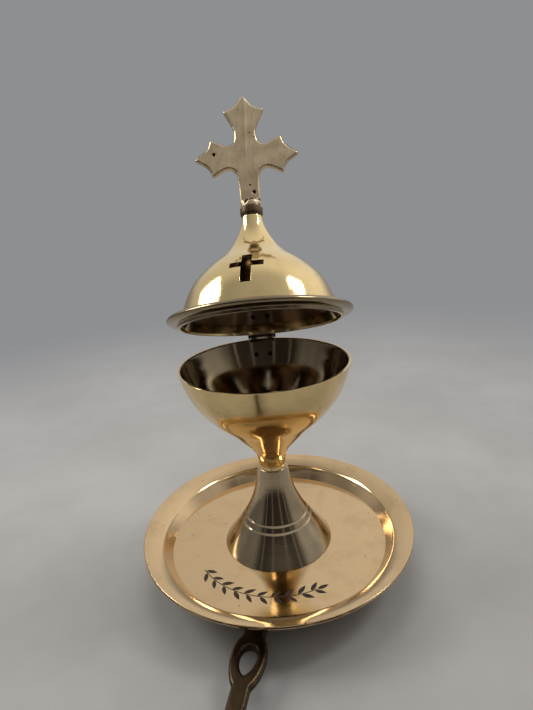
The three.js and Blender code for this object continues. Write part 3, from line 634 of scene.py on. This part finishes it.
def makeBowl():
    s = bowl
    top = s["height"]
    inner = [p for p in inset(bowlSide, s["wall"]) if s["floor"] + 0.8 < p.y < top - 0.2][::-1]
    floor = radiusAt(bowlSide, s["floor"]) - s["wall"] * 2
    mouth = (s["rim"] - s["wall"], top)
    outline = ([Vector((0, s["boreTop"])), Vector((s["bore"], s["boreTop"])), Vector((s["bore"], 0))]
               + corner((s["bore"], 0), bowlSide[0], bowlSide[1], 0.15) + bowlSide[1:-1]
               + corner(bowlSide[-2], bowlSide[-1], mouth, 0.3) + corner(bowlSide[-1], mouth, inner[0], 0.3)
               + inner + [Vector((floor, s["floor"])), Vector((floor * 0.5, s["floor"] - 0.3)),
                          Vector((0, s["floor"] - 0.6))])
    gap = math.asin(s["notchHalf"] / (s["rim"] - s["wall"] / 2))
    angles = sorted([2 * math.pi * k / s["columns"] for k in range(s["columns"] + 1)]
                    + [math.pi + side * (gap + nudge) for side in (-1, 1) for nudge in (0, 0.0006)])
    low = top - s["notchDepth"] + stemBottom

    def shape(angle, r, z):
        if abs(angle - math.pi) <= gap + 1e-6 and z > low:
            z = low
        return r * math.sin(angle), -r * math.cos(angle), z

    mesh = lathe(lifted(outline, stemBottom), angles, shape)
    markInside(mesh, lambda x, y, z: z > stemBottom + s["floor"] - 1
               and math.hypot(x, y) < radiusAt(bowlSide, min(z - stemBottom, top)) - s["wall"] * 0.55)
    piece = finishMesh("incenseBowl", mesh, turnedBrass("bowlBrass", bowlLook))
    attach(piece, "stand")
    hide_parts("bowl")


makeBowl()
print("bowl made")


# ---- lid ----

lid = {"wall": 1.4, "seat": 0.3, "spigotDepth": 1.2, "spigotWall": 1.3, "spigot": 36.4, "brim": 40.9,
       "brimThickness": 3.3, "round": 0.6, "dome": 34.3, "neck": 4.5, "neckHeight": 47.5,
       "profile": ((0.962, 0.168), (0.91, 0.263), (0.834, 0.358), (0.735, 0.442), (0.606, 0.526),
                   (0.449, 0.611), (0.324, 0.695)), "neckProfile": ((3.2, 0.8), (0.9, 0.905)),
       "ceiling": 36, "bore": 2.1, "crossTurn": -8.4, "crossHalf": 2.1, "crossReach": 6.9,
       "crossHeights": (11.1, 18.35, 20.75, 24.4)}
lidLook = {"tone": (0.82, 0.64, 0.33), "tarnish": (0.55, 0.39, 0.17), "speck": (0.10, 0.06, 0.03),
           "ringScale": 1.5, "smudgeScale": 0.10, "speckScale": 0.9, "speckEdge": 0.77,
           "smudge": 0.4, "ringShade": 0.10, "rough": 0.09, "roughSmudge": 0.08, "depth": 0.012,
           "edge": {"from": 34.9, "to": 36.2, "tone": (0.25, 0.20, 0.135), "rough": 0.08},
           "inside": {"soot": (0.20, 0.125, 0.08), "tone": (0.36, 0.25, 0.155), "rough": 0.05,
                      "streaks": 3.0, "ridge": 0.5}}
brimTop = lid["seat"] + lid["brimThickness"]
domeSide = smoothLine([(lid["dome"], brimTop + lid["round"])]
                      + [(lid["dome"] * out, lid["neckHeight"] * up) for out, up in lid["profile"]]
                      + [(lid["neck"] + out, lid["neckHeight"] * up) for out, up in lid["neckProfile"]]
                      + [(lid["neck"], lid["neckHeight"])], 100)


def lidColumns():
    # places across one quarter: millimetres from the cross's middle, then shares of the rest
    reach, half = lid["crossReach"], lid["crossHalf"]
    near = ([-reach + k * (reach - half) / 7 for k in range(7)]
            + [-half + k * 2 * half / 6 for k in range(7)]
            + [half + k * (reach - half) / 7 for k in range(1, 8)])
    return near, [k / 14 for k in range(1, 15)]


def makeLid():
    s = lid
    domeInner = inset(domeSide, s["wall"])
    low, barLow, barHigh, high = s["crossHeights"]
    heights = (list(np.linspace(low, barLow, 8)) + list(np.linspace(barLow, barHigh, 5))[1:]
               + list(np.linspace(barHigh, high, 5))[1:])
    outerBand = [Vector((radiusAt(domeSide, h), h)) for h in heights]
    innerBand = [Vector((radiusAt(domeInner, h), h)) for h in heights]
    brimBody = softened([(s["spigot"] - s["spigotWall"], s["seat"]),
                         (s["spigot"] - s["spigotWall"], -s["spigotDepth"]),
                         (s["spigot"], -s["spigotDepth"]), (s["spigot"], s["seat"]),
                         (s["brim"] - s["round"] * 3.8, s["seat"]),
                         (s["brim"] - s["round"], s["seat"] + s["brimThickness"] * 0.22),
                         (s["brim"], s["seat"] + s["brimThickness"] / 2),
                         (s["brim"] - s["round"], brimTop - s["brimThickness"] * 0.18),
                         (s["brim"] - s["round"] * 3.3, brimTop),
                         (s["dome"] + s["round"] * 2, brimTop + 0.05)], 0.45)
    bore = [Vector((s["bore"], s["neckHeight"])), Vector((s["bore"], s["ceiling"]))]
    cap = [p for p in domeInner if high + 0.3 < p.y < s["ceiling"] - 1][::-1]
    ceilingRadius = radiusAt(domeSide, s["ceiling"]) - s["wall"] * 1.3
    outline = (brimBody + [p for p in domeSide if p.y < low - 0.3] + outerBand
               + [p for p in domeSide if p.y > high + 0.3][:-1]
               + corner(domeSide[-2], domeSide[-1], bore[0], 0.15) + bore
               + [Vector((ceilingRadius, s["ceiling"]))] + cap + innerBand[::-1]
               + [p for p in domeInner if p.y < low - 0.3][::-1] + [brimBody[0]])
    near, far = lidColumns()
    rows = len(outline)
    points, marks, columns = [], [], []
    turn = math.radians(s["crossTurn"])
    for quarter in range(4):
        for place in near + far:
            columns.append((quarter, place, len(columns) % (len(near) + len(far)) < len(near)))
    narrow, wide = radiusAt(domeSide, high), radiusAt(domeSide, low)
    for quarter, place, close in columns:
        for point in outline:
            r = max(min(point.x, wide), narrow - s["wall"])
            edge = math.asin(s["crossReach"] / r)
            if close:
                angle = math.asin(place / r)
            else:
                angle = edge + (math.pi / 2 - 2 * edge) * place
            angle += turn + quarter * math.pi / 2
            points.append((point.x * math.sin(angle) * mm, -point.x * math.cos(angle) * mm,
                           point.y * mm))
    count = len(columns)
    outerFirst = outline.index(outerBand[0])
    innerFirst = outline.index(innerBand[-1])
    steps = len(heights) - 1

    def cut(column, step):
        # step counts the bands upwards from the crosses' lowest height
        place = column % (len(near) + len(far))
        if place >= len(near) - 1 or not 0 <= step < steps:
            return False
        middle = (heights[step] + heights[step + 1]) / 2
        across = abs(near[place] + near[place + 1]) / 2
        return across < s["crossHalf"] or (barLow < middle < barHigh)

    faces = []
    for c in range(count):
        d = (c + 1) % count
        for j in range(rows - 1):
            outerStep, innerStep = j - outerFirst, steps - 1 - (j - innerFirst)
            if outerFirst <= j < outerFirst + steps and cut(c, outerStep):
                continue
            if innerFirst <= j < innerFirst + steps and cut(c, innerStep):
                continue
            faces.append((c * rows + j, d * rows + j, d * rows + j + 1, c * rows + j + 1))
        for step in range(steps):
            if not cut(c, step):
                continue
            outer, inner = outerFirst + step, innerFirst + steps - step
            for side, column in ((c - 1, c), (c + 1, d)):
                if not cut(side % count, step):
                    faces.append((column * rows + outer, column * rows + outer + 1,
                                  column * rows + inner - 1, column * rows + inner))
            for away, level in ((step - 1, 0), (step + 1, 1)):
                if not cut(c, away):
                    faces.append((c * rows + outer + level, d * rows + outer + level,
                                  d * rows + inner - level, c * rows + inner - level))
    mesh = bpy.data.meshes.new("lid")
    mesh.from_pydata(points, [], faces)
    markInside(mesh, lambda x, y, z: 0.5 < z < s["ceiling"] + 0.1
               and math.hypot(x, y) < radiusAt(domeSide, max(z, brimTop + s["round"])) - s["wall"] * 0.5)
    piece = finishMesh("lidDome", mesh, turnedBrass("lidBrass", lidLook, lidPlace), lidPlace, 32)
    edge = piece.modifiers.new("filedEdges", "BEVEL")
    edge.width = 0.12 * mm
    edge.segments = 2
    edge.limit_method = "ANGLE"
    edge.angle_limit = math.radians(50)
    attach(piece, "lid")
    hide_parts("lid_dome")


makeLid()
print("lid made")


# ---- cross and collar ----

finial = {"foot": 51.6, "centre": 24.1, "collarFoot": 47.55, "collar": 5.1, "collarRise": 0.35,
          "collarRecess": 0.72, "collarHeight": 4, "bore": 2.1, "voxel": 0.3, "nubs": 7, "nub": 0.42,
          "ridge": 0.38, "ridgeWidth": 0.9, "filedOff": 0.05, "wander": 0.04, "smallDents": 34,
          "dentSeed": 11}
crossLook = {"tone": (0.78, 0.63, 0.42), "second": (0.65, 0.51, 0.33), "dark": (0.12, 0.085, 0.055),
             "bright": (0.78, 0.64, 0.42), "grainScale": 1.6, "patchScale": 0.14, "pitScale": 0.55,
             "pitEdge": 0.70, "filing": (2.2, 2.2, 0.25), "fileShade": 0.25, "metallic": 1.0,
             "rough": 0.36, "polish": 0.08, "depth": 0.05}
collarLook = {**crossLook, "tone": (0.16, 0.11, 0.06), "second": (0.10, 0.07, 0.04),
              "bright": (0.45, 0.33, 0.17), "dark": (0.03, 0.02, 0.012), "pitEdge": 0.62,
              "rough": 0.4, "depth": 0.04}


def cadCopy(node, place=None, merge=1e-6):
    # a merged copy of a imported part's mesh, moved back to where it was designed
    mesh = frame["nodes"][node].data.copy()
    bm = bmesh.new()
    bm.from_mesh(mesh)
    bmesh.ops.remove_doubles(bm, verts=bm.verts, dist=merge)
    if place:
        bmesh.ops.transform(bm, matrix=place.inverted(), verts=bm.verts)
    bm.to_mesh(mesh)
    bm.free()
    return mesh


def remeshed(mesh, voxel, rounds):
    # even small faces with softened corners, as cast metal has
    work = linked("work", mesh)
    grid = work.modifiers.new("grid", "REMESH")
    grid.mode = "VOXEL"
    grid.voxel_size = voxel * mm
    soft = work.modifiers.new("soft", "SMOOTH")
    soft.iterations = rounds
    soft.factor = 0.5
    return applied(work)


def hollowOut(mesh, dents):
    # dents in a surface: (centre, radius, depth) in mm, marked so that they can be dark
    marks = []
    for vertex in mesh.vertices:
        push, mark = Vector(), 0.0
        for centre, radius, depth in dents:
            away = (vertex.co / mm - Vector(centre)).length / radius
            if away < 1:
                push -= vertex.normal * depth * (1 - away * away) ** 2
                mark = max(mark, 1 - away)
        vertex.co += push * mm
        marks.append(mark)
    mesh.attributes.new("pit", "FLOAT", "POINT").data.foreach_set("value", marks)


def makeCross():
    s = finial
    mesh = remeshed(cadCopy("cross_finial", lidPlace), s["voxel"], 4)
    middle = s["foot"] + s["centre"]
    rng = np.random.default_rng(s["dentSeed"])
    dents = [((-14.9, -1.7, middle + 1.6), 1.1, 1.1), ((0.3, -1.8, middle - 14.0), 0.55, 0.4),
             ((1.9, -1.8, middle - 17.3), 1.0, 0.8), ((-1.9, -3.4, s["foot"] + 2.3), 1.5, 1.0),
             ((0.6, -3.6, s["foot"] + 3.4), 0.9, 0.7)]
    for _ in range(s["smallDents"]):
        angle = rng.uniform(0, 2 * math.pi)
        dents.append(((4.4 * math.cos(angle), 3.8 * math.sin(angle), s["foot"] + rng.uniform(0.4, 4.8)),
                      rng.uniform(0.5, 1.1), rng.uniform(0.25, 0.6)))
    for vertex in mesh.vertices:
        # the faces are hand-filed: they fall away from a soft ridge and wander a little
        x, y, z = vertex.co / mm
        if z > s["foot"] + 3 and abs(y) > 1.0:
            wander = (math.sin(x * 0.45 + z * 0.21) + math.sin(z * 0.62 - x * 0.17)) * s["wander"]
            up = min(max((z - middle + 6) / 8, 0), 1)
            off = abs(x + 0.5 - 0.05 * (z - middle))
            fall = up * s["ridge"] * (1 - math.exp(-off / s["ridgeWidth"])) + off * 0.008
            vertex.co.y -= math.copysign(s["filedOff"] + wander + fall, y) * mm
    hollowOut(mesh, dents)
    markWear(mesh, 4, 2.2)
    piece = finishMesh("crossFinial", mesh, castBrass("crossBrass", crossLook, lidPlace), lidPlace, 60)
    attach(piece, "lid")
    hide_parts("cross_finial")


def makeCollar():
    s = finial
    outer, high, rise = s["collar"], s["collarHeight"], s["collarRise"]
    waist = outer - rise
    recess = s["collarRecess"]
    outline = softened([(s["bore"], 0), (waist, 0), (waist, recess), (outer, recess + rise),
                        (outer, high - rise), (waist, high), (s["bore"], high), (s["bore"], 0)], 0.22)
    band = lathe(lifted(outline, s["collarFoot"]), 96)
    nub = bpy.data.meshes.new("nub")
    bm = bmesh.new()
    bmesh.ops.create_uvsphere(bm, u_segments=12, v_segments=8, radius=s["nub"] * mm)
    bm.to_mesh(nub)
    bm.free()
    material = castBrass("collarBrass", collarLook, lidPlace)
    step = 2 * math.pi / s["nubs"]
    sizes = {"Count": s["nubs"], "Step angle": step, "Radius": (outer - 0.3) * mm, "Variation": 0.25}
    beads = ring("nubs", nub, material, **sizes, **{
        "First angle": 1.5, "Height": (s["collarFoot"] + high - rise * 1.6) * mm})
    whole = joined(band, beads)
    markWear(whole, 1, 0.8)
    piece = finishMesh("collarBand", whole, material, lidPlace, 40)
    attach(piece, "lid")
    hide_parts("finial_collar")


makeCross()
makeCollar()
print("cross and collar made")


# ---- handle ----

handle = {"voxel": 0.42, "rounds": 5, "uneven": 0.05}
handleLook = {"tone": (0.085, 0.058, 0.036), "second": (0.045, 0.034, 0.021), "dark": (0.02, 0.014, 0.01),
              "bright": (0.50, 0.36, 0.19), "grainScale": 1.3, "patchScale": 0.09, "pitScale": 0.8,
              "pitEdge": 0.68, "filing": (0.5, 0.16, 0.5), "fileShade": 0.35, "metallic": 1.0,
              "rough": 0.38, "polish": 0.12, "depth": 0.05}


def makeHandle():
    mesh = remeshed(cadCopy("handle"), handle["voxel"], handle["rounds"])
    for vertex in mesh.vertices:
        x, y, z = vertex.co / mm
        vertex.co.z += handle["uneven"] * mm * math.sin(x * 0.5 + y * 0.33) * math.cos(y * 0.21)
    markWear(mesh, 3, 2.0)
    piece = finishMesh("handleBar", mesh, castBrass("handleBrass", handleLook), None, 60)
    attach(piece, "stand")
    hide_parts("handle")


makeHandle()
print("handle made")


# ---- hinge, rivets and fasteners ----

# nearly black brass for the hinge and its rivets: partly oxide, partly painted shade of the gap between the
# lid and the bowl's rim
oxideAndShadeLook = {**collarLook, "tone": (0.035, 0.027, 0.018), "second": (0.02, 0.016, 0.011),
            "bright": (0.15, 0.11, 0.065), "grainScale": 2.0, "rough": 0.42, "depth": 0.02}
steelLook = {**crossLook, "tone": (0.42, 0.41, 0.38), "second": (0.33, 0.32, 0.30),
             "bright": (0.60, 0.59, 0.56), "dark": (0.12, 0.10, 0.08), "grainScale": 2.5,
             "pitEdge": 0.75, "filing": (1.5, 1.5, 1.5), "rough": 0.33, "depth": 0.01}
rivets = {"spacing": 7.4, "shank": 0.8, "head": 1.45, "height": 0.7, "leaf": 1.0,
          "bowlDrop": 8, "lidHeight": 8}
handleRivets = {"reach": {"Inner": 12.502, "Outer": 18.505}, "shank": 1.4, "head": 2.3, "height": 1.1}


def fineCopy(name, node, body, material, width=0.12, place=None):
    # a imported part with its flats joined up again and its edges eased
    mesh = cadCopy(node, place)
    bm = bmesh.new()
    bm.from_mesh(mesh)
    bmesh.ops.dissolve_limit(bm, angle_limit=math.radians(1), verts=bm.verts, edges=bm.edges)
    edges = [e for e in bm.edges if len(e.link_faces) == 2
             and e.calc_face_angle(0) > math.radians(32)]
    bmesh.ops.bevel(bm, geom=edges, offset=width * mm, segments=3, profile=0.5, affect="EDGES",
                    clamp_overlap=True)
    bmesh.ops.triangulate(bm, faces=[f for f in bm.faces if len(f.verts) > 4])
    bm.to_mesh(mesh)
    bm.free()
    markWear(mesh, 0, 0.7)
    piece = finishMesh(name, mesh, material, place, 30)
    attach(piece, body)
    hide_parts(node)


def domedRivet(tail, head):
    # outline of one rivet along Z, both its heads domed
    s = rivets
    return softened([(0, tail - s["height"] * 0.7), (s["head"] * 0.55, tail - s["height"] * 0.62),
                     (s["head"] * 0.85, tail - 0.05), (s["shank"], tail), (s["shank"], head),
                     (s["head"], head), (s["head"] * 0.93, head + s["height"] * 0.42),
                     (s["head"] * 0.6, head + s["height"] * 0.85), (0, head + s["height"])], 0.18)


def makeHingeRivets(name, side, height, wall, base, body, material, place, nodes):
    s = rivets
    outline = domedRivet(-wall - 2 * seatGap, s["leaf"] + 3 * seatGap)
    one = lathe(lifted(outline), 32)
    radius = radiusAt(side, height)
    slope = (radiusAt(side, height + 1) - radiusAt(side, height - 1)) / 2
    half = math.asin(s["spacing"] / 2 / radius)
    # Z of the copy turns to the wall's outward normal
    sizes = {"Count": 2, "First angle": math.pi - half, "Step angle": 2 * half,
             "Radius": radius * mm, "Height": (height + base) * mm,
             "Tilt": math.pi / 2 + math.atan(slope)}
    mesh = ring(name, one, material, **sizes)
    markWear(mesh, 0, 0.7)
    piece = finishMesh(name, mesh, material, place, 40)
    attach(piece, body)
    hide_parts(*nodes)


def makeHandleRivets(material):
    s = handleRivets
    low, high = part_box("handle")[0].z / mm - seatGap, wellTop + seatGap
    outline = softened([(0, low - s["height"]), (s["head"] * 0.6, low - s["height"]),
                        (s["head"], low - s["height"] * 0.3), (s["head"], low), (s["shank"], low),
                        (s["shank"], high), (s["head"], high), (s["head"], high + s["height"] * 0.3),
                        (s["head"] * 0.6, high + s["height"]), (0, high + s["height"])], 0.2)
    one = lathe(lifted(outline), 32)
    toHandle = -math.radians(saucer["handleAngle"])
    for which, reach in s["reach"].items():
        node = "handle_rivet_" + which.lower()
        sizes = {"Count": 1, "First angle": toHandle, "Step angle": 0.0, "Radius": reach * mm,
                 "Height": 0.0}
        mesh = ring(node, one, material, **sizes)
        markWear(mesh, 0, 0.7)
        piece = finishMesh("handleRivet" + which, mesh, material, None, 40)
        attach(piece, "stand")
        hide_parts(node)


# the hinge leaves, pin and hinge rivets: oxide and painted shade, nearly black
oxideAndShadeFinish = castBrass("oxideAndShadeFinish", oxideAndShadeLook)
lidOxideAndShadeFinish = castBrass("lidOxideAndShadeFinish", oxideAndShadeLook, lidPlace)
steelFinish = castBrass("steelFinish", steelLook)
fineCopy("bowlLeaf", "bowl_hinge_leaf", "stand", oxideAndShadeFinish, 0.15)
fineCopy("lidLeaf", "lid_hinge_leaf", "lid", lidOxideAndShadeFinish, 0.15, lidPlace)
fineCopy("hingePin", "hinge_pin", "stand", oxideAndShadeFinish, 0.15)
fineCopy("tieBolt", "tie_bolt", "stand", steelFinish, 0.3)
fineCopy("tieWasher", "tie_bolt_washer", "stand", steelFinish, 0.2)
fineCopy("nutWasher", "finial_washer", "lid", steelFinish, 0.12, lidPlace)
fineCopy("finialNut", "finial_nut", "lid", steelFinish, 0.2, lidPlace)
makeHingeRivets("bowlHingeRivets", bowlSide, bowl["height"] - rivets["bowlDrop"], bowl["wall"],
                stemBottom, "stand", oxideAndShadeFinish, None,
                ["bowl_hinge_rivet_left", "bowl_hinge_rivet_right"])
makeHingeRivets("lidHingeRivets", domeSide, rivets["lidHeight"], lid["wall"], 0, "lid",
                lidOxideAndShadeFinish, lidPlace, ["lid_hinge_rivet_left", "lid_hinge_rivet_right"])
makeHandleRivets(castBrass("rivetBrass", handleLook))
print("hinge and fasteners made")


# ---- floor, light and camera ----

floorLook = {"radius": 1.4, "mottleScale": 9.0, "first": (0.345, 0.34, 0.33),
             "second": (0.415, 0.41, 0.40), "rough": 0.85, "fadeFrom": 0.10, "fadeTo": 0.62}
room = {"sides": (0.27, 0.265, 0.26), "above": (0.46, 0.45, 0.44), "behind": (0.80, 0.77, 0.73),
        "below": (0.24, 0.24, 0.23), "front": (0.030, 0.025, 0.021), "strips": (0.50, 0.48, 0.45),
        "seen": (0.27, 0.275, 0.285), "strength": 0.95, "lean": 0.36}
view = {"pitch": 0.3068, "yaw": 0.0064, "roll": -0.0816, "lens": 25.145, "back": 0.2094,
        "aboveWell": 0.16087}


def makeFloor():
    s = floorLook
    bm = bmesh.new()
    bmesh.ops.create_circle(bm, cap_ends=True, segments=96, radius=s["radius"])
    mesh = bpy.data.meshes.new("floor")
    bm.to_mesh(mesh)
    bm.free()
    material, sheet = newMaterial("floorPaint")
    point = sheet.node("ShaderNodeTexCoord", None, None, out="Object")
    away = sheet.vector("LENGTH", point).also("Value")
    mottle = sheet.noise(point, s["mottleScale"], 4, 0.6)
    colour = sheet.mix(sheet.step(mottle, 0.3, 0.75), s["first"], s["second"])
    paint = sheet.node("ShaderNodeBsdfPrincipled", None, {
        "Base Color": colour, "Roughness": s["rough"]})
    clear = sheet.node("ShaderNodeBsdfTransparent")
    fade = sheet.step(away, s["fadeFrom"], s["fadeTo"])
    surface = sheet.node("ShaderNodeMixShader", None, {0: fade, 1: paint, 2: clear})
    sheet.node("ShaderNodeOutputMaterial", None, {"Surface": surface})
    mesh.materials.append(material)
    floor = linked("floor", mesh)


def aim(place, target):
    return (Vector(target) - Vector(place)).to_track_quat("-Z", "Y")


def softLight(name, place, target, size, power, colour=(1, 1, 1)):
    light = bpy.data.lights.new(name, "AREA")
    light.shape = "RECTANGLE"
    light.size, light.size_y = size
    light.energy = power
    light.color = colour
    lamp = linked(name, light)
    lamp.location = place
    lamp.rotation_mode = "QUATERNION"
    lamp.rotation_quaternion = aim(place, target)
    lamp.visible_camera = False
    return lamp


def makeRoom():
    # a soft studio room: what the brass reflects; the camera itself sees plain grey
    s = room
    world = bpy.data.worlds.new("room")
    world.use_nodes = True
    world.node_tree.nodes.clear()
    scene.world = world
    sheet = Sheet(world.node_tree)
    way = sheet.node("ShaderNodeTexCoord", None, None, out="Generated")
    x = sheet.node("ShaderNodeSeparateXYZ", None, {0: way})
    y, z = x.also("Y"), x.also("Z")

    side = abs(sheet.calc("ARCTAN2", x, y * -1))
    low = 1 - sheet.step(z, -0.3, 0.02)
    colour = sheet.mix(sheet.step(z, 0.0, 0.75), s["sides"], s["above"])
    behind = sheet.step(y, -0.08, 0.42) * sheet.step(z, 0.0, 0.35)
    colour = sheet.mix(behind, colour, s["behind"])
    # a dark front with two narrow strip lights in it
    front = (1 - sheet.step(side, 0.78, 1.18)) * (1 - sheet.step(z, 0.50, 0.74))
    colour = sheet.mix(low, colour, s["below"])
    colour = sheet.mix(front * 0.95, colour, s["front"])
    strips = 1 - sheet.step(abs(abs(side - 0.52) - 0.22), 0.012, 0.034)
    colour = sheet.mix(strips * (1 - sheet.step(z, 0.45, 0.7)) * 0.55, colour, s["strips"])
    light = sheet.node("ShaderNodeBackground", None, {
        "Color": colour, "Strength": x * s["lean"] + s["strength"]})
    seen = sheet.node("ShaderNodeBackground", None, {"Color": (*s["seen"], 1), "Strength": 1.0})
    isCamera = sheet.node("ShaderNodeLightPath", None, None, out="Is Camera Ray")
    mixed = sheet.node("ShaderNodeMixShader", None, {0: isCamera, 1: light, 2: seen})
    sheet.node("ShaderNodeOutputWorld", None, {"Surface": mixed})


def makeCamera():
    # stands in front of the bowl, looks down on it and leans a little
    pitch, yaw, roll = view["pitch"], view["yaw"], view["roll"]
    ahead = Vector((math.sin(yaw) * math.cos(pitch), math.cos(yaw) * math.cos(pitch), -math.sin(pitch)))
    right = Vector((math.cos(yaw), -math.sin(yaw), 0))
    up = right.cross(ahead)
    side = right * math.cos(roll) + up * math.sin(roll)
    top = up * math.cos(roll) - right * math.sin(roll)
    lens = bpy.data.cameras.new("camera")
    lens.sensor_width = 36
    lens.lens = view["lens"]
    lens.clip_start = 0.005
    camera = linked("camera", lens)
    camera.matrix_world = Matrix((
        (side.x, top.x, -ahead.x, 0.0), (side.y, top.y, -ahead.y, -view["back"]),
        (side.z, top.z, -ahead.z, wellTop * mm + view["aboveWell"]), (0, 0, 0, 1)))
    scene.camera = camera


makeFloor()
makeRoom()
softLight("windowLeft", (-0.87, 0.28, 0.79), (0, 0, 0.12), (0.46, 0.50), 5, (1.0, 0.98, 0.95))
softLight("windowRight", (0.80, 0.07, 1.01), (0, 0, 0.12), (0.20, 0.34), 3, (1.0, 0.99, 0.97))
ceiling = softLight("ceiling", (0.0, 0.55, 1.3), (0, 0, 0), (0.8, 0.8), 5)
ceiling.visible_glossy = False
makeCamera()
scene.view_settings.view_transform = "Standard"
scene.view_settings.look = "None"
print("floor, light and camera made")
